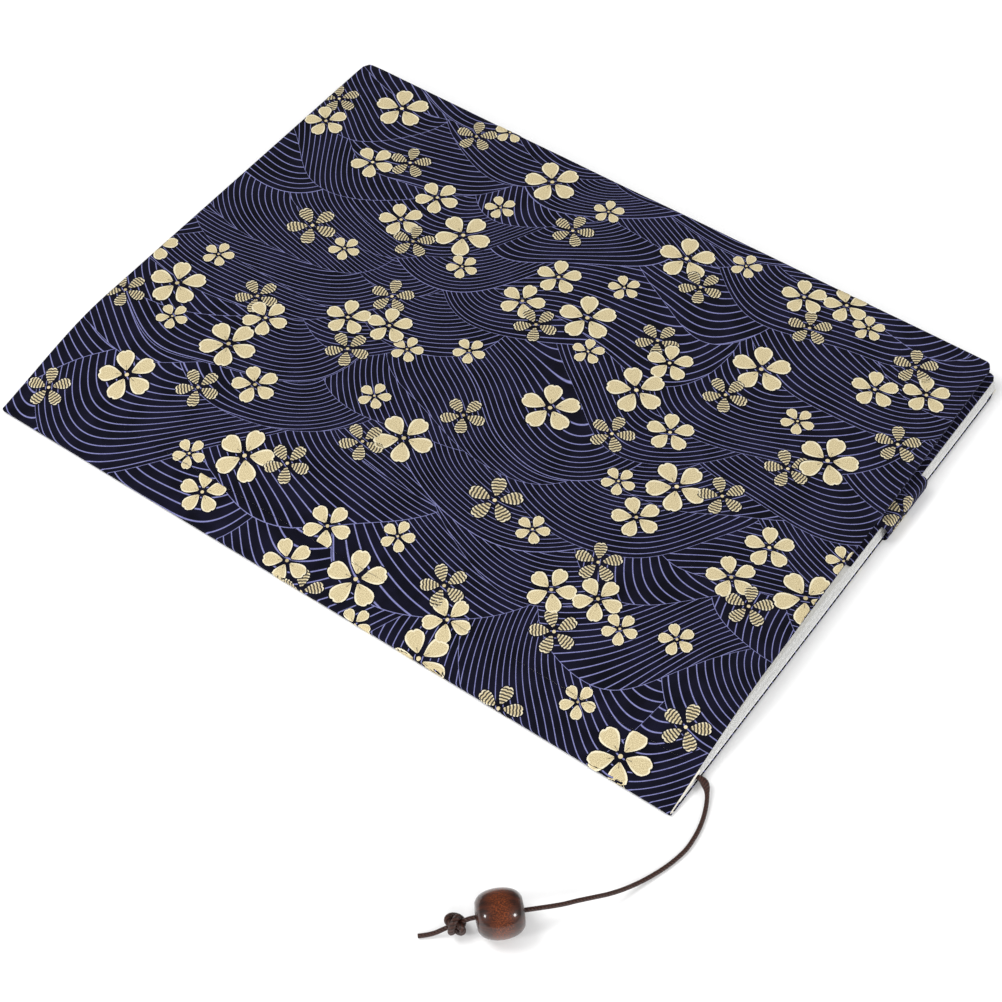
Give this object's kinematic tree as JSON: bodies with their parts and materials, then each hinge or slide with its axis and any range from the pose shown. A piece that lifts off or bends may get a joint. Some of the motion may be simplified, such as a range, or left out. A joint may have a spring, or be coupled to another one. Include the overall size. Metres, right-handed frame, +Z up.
{
  "type": "pilot logbook",
  "caption": "Thin stapled pilot logbook in a printed cloth slip-on cover with a back flap, a cross belt and a bookmark cord that ends in a wooden bead.",
  "frame": {"origin": "middle of the underside of the closed book, measured without the free cord and its bead", "axes": "+X from the spine fold to the fore-edge, +Y from the tail to the head, +Z up out of the front cover"},
  "size_m": [0.2246, 0.2258, 0.0117],
  "materials": {
    "printed_cloth": "printed cotton, matte",
    "lining": "plain cotton, matte",
    "thread": "sewing thread",
    "card": "smooth card, matte",
    "paper": "uncoated paper",
    "staple_wire": "plated wire",
    "waxed_cord": "waxed twist",
    "bead_wood": "lacquered, glossy"
  },
  "bodies": {
    "back_half": {"back_cloth": "printed_cloth", "back_lining": "lining", "flap_cloth": "printed_cloth", "flap_lining": "lining", "flap_stitches": "thread", "belt": "printed_cloth", "belt_stitches": "thread", "back_card": "card", "staples": "staple_wire", "back_leaves": "paper", "cord_tack": "thread", "inner_cord": "waxed_cord"},
    "spine_panel": {"spine_cloth": "printed_cloth", "spine_lining": "lining", "spine_card": "card"},
    "front_cover": {"front_cloth": "printed_cloth", "front_lining": "lining", "sleeve_cloth": "printed_cloth", "sleeve_lining": "lining", "sleeve_stitches": "thread", "sleeve_seams": "thread", "front_card": "card"},
    "front_leaves": {"front_leaves": "paper"},
    "bead": {"bead": "bead_wood"},
    "bookmark": {"bookmark_cord": "waxed_cord", "stopper_knot": "waxed_cord"}
  },
  "joints": [
    {"name": "cover_hinge", "type": "hinge", "parent": "back_half", "child": "spine_panel", "pos_m": [-0.0818, 0, 0.0007], "axis": [0, -1, 0], "range_deg": [0, 165.3]},
    {"name": "cover_crease", "type": "hinge", "parent": "spine_panel", "child": "front_cover", "pos_m": [-0.0555, 0, 0.0076], "axis": [0, -1, 0], "range_deg": [0, 14.7]},
    {"name": "leaves_turn", "type": "hinge", "parent": "back_half", "child": "front_leaves", "pos_m": [-0.0795, 0, 0.00415], "axis": [0, -1, 0], "range_deg": [0, 180]},
    {"name": "bookmark_swing", "type": "hinge", "parent": "back_half", "child": "bookmark", "pos_m": [-0.0705, -0.10785, 0], "axis": [0, 0, 1], "range_deg": [0, 45]},
    {"name": "bead_slide", "type": "slide", "parent": "bookmark", "child": "bead", "axis": [0.7071, -0.7071, 0], "range_m": [0, 0.008]}
  ],
  "couplings": [
    {"joint": "cover_crease", "follows": "cover_hinge", "ratio": 0.0889},
    {"joint": "leaves_turn", "follows": "cover_hinge", "ratio": 1.0889},
    {"joint": "bookmark_swing", "follows": "cover_hinge", "ratio": 0.272}
  ]
}
